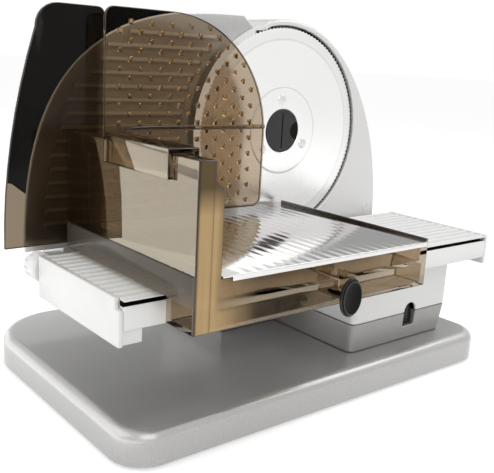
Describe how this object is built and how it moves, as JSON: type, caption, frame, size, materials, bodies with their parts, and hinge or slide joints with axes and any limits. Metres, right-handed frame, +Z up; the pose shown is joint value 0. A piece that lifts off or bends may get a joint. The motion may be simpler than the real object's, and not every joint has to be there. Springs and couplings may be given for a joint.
{
  "type": "electric food slicer",
  "caption": "Electric food slicer: upright round blade in a motor housing, smoked sliding carriage with steel tray, thumb guard and spiked pusher, ribbed stop plate, broad flat base.",
  "frame": {"origin": "on the table, under the middle of the whole slicer's box", "axes": "+Z up; +X across the blade, from the motor housing towards the carriage; +Y along the carriage's stroke, away from the user's end of the carriage"},
  "size_m": [0.327, 0.4448, 0.3225],
  "materials": {
    "silver_paint": "moulded plastic under satin silver metallic paint",
    "pale_paint": "moulded plastic under satin light silver paint",
    "grey_paint": "moulded plastic under satin grey paint",
    "white_plastic": "white, semi-gloss",
    "blade_steel": "finely turned stainless steel",
    "bright_steel": "bright stainless steel",
    "smoked_plastic": "clear smoked brown, glossy",
    "black_plastic": "matte black",
    "rubber": "matte",
    "gear_plastic": "natural white gear plastic",
    "bronze": "sintered bronze"
  },
  "bodies": {
    "frame": {"base_plate": "silver_paint", "base_bottom": "grey_paint", "foot_front_left": "rubber", "foot_front_right": "rubber", "foot_back_left": "rubber", "foot_back_right": "rubber", "lower_housing": "grey_paint", "motor_housing": "pale_paint", "rear_cover": "pale_paint", "cord_gland": "black_plastic", "guide_beam": "white_plastic", "beam_cap_left": "white_plastic", "beam_cap_right": "white_plastic", "front_bush": "bronze", "rear_bush": "bronze", "gear_bridge": "grey_paint", "motor_can": "bright_steel", "motor_bracket": "grey_paint", "adjust_arm": "grey_paint", "switch_body": "black_plastic"},
    "blade_set": {"blade": "blade_steel", "blade_hub": "gear_plastic", "blade_rivet_1": "blade_steel", "blade_rivet_2": "blade_steel", "blade_rivet_3": "blade_steel", "spindle": "bright_steel", "worm_gear": "gear_plastic"},
    "blade_lock": {"blade_lock": "black_plastic"},
    "rotor": {"motor_shaft": "bright_steel", "worm": "bright_steel", "motor_fan": "black_plastic"},
    "stop_set": {"stop_plate": "silver_paint", "stop_rod_1": "bright_steel", "stop_rod_2": "bright_steel"},
    "dial": {"thickness_dial": "white_plastic", "dial_shaft": "bright_steel"},
    "carriage": {"carriage_body": "smoked_plastic", "steel_tray": "bright_steel", "thumb_guard": "smoked_plastic", "carriage_runner_1": "white_plastic", "carriage_runner_2": "white_plastic", "carriage_glide_1": "white_plastic", "carriage_glide_2": "white_plastic"},
    "carriage_knob": {"carriage_knob": "black_plastic"},
    "pusher": {"pusher_plate": "smoked_plastic", "pusher_hook": "smoked_plastic"},
    "switch_button": {"switch_button": "black_plastic"}
  },
  "joints": [
    {"name": "blade_spin", "type": "hinge", "parent": "frame", "child": "blade_set", "pos_m": [-0.0225, 0.05035, 0.2205], "axis": [1, 0, 0], "continuous": true},
    {"name": "rotor_spin", "type": "hinge", "parent": "frame", "child": "rotor", "pos_m": [-0.0675, 0.08535, 0.2205], "axis": [0, 0, 1], "continuous": true},
    {"name": "blade_lock_turn", "type": "hinge", "parent": "blade_set", "child": "blade_lock", "pos_m": [-0.0225, 0.05035, 0.2205], "axis": [1, 0, 0], "range_deg": [0, 90]},
    {"name": "carriage_slide", "type": "slide", "parent": "frame", "child": "carriage", "axis": [0, 1, 0], "range_m": [-0.02, 0.15]},
    {"name": "carriage_knob_turn", "type": "hinge", "parent": "carriage", "child": "carriage_knob", "pos_m": [0.1595, -0.03465, 0.12], "axis": [1, 0, 0], "range_deg": [0, 90]},
    {"name": "pusher_slide", "type": "slide", "parent": "carriage", "child": "pusher", "axis": [1, 0, 0], "range_m": [-0.006, 0.06]},
    {"name": "stop_slide", "type": "slide", "parent": "frame", "child": "stop_set", "axis": [-1, 0, 0], "range_m": [0, 0.015]},
    {"name": "dial_turn", "type": "hinge", "parent": "frame", "child": "dial", "pos_m": [-0.0285, -0.18865, 0.1165], "axis": [1, 0, 0], "range_deg": [0, 270]},
    {"name": "button_press", "type": "slide", "parent": "frame", "child": "switch_button", "axis": [-1, 0, 0], "range_m": [0, 0.003], "stiffness_N_per_m": 300}
  ],
  "couplings": [
    {"joint": "rotor_spin", "follows": "blade_spin", "ratio": -36},
    {"joint": "dial_turn", "follows": "stop_slide", "rad_per_m": 314}
  ]
}
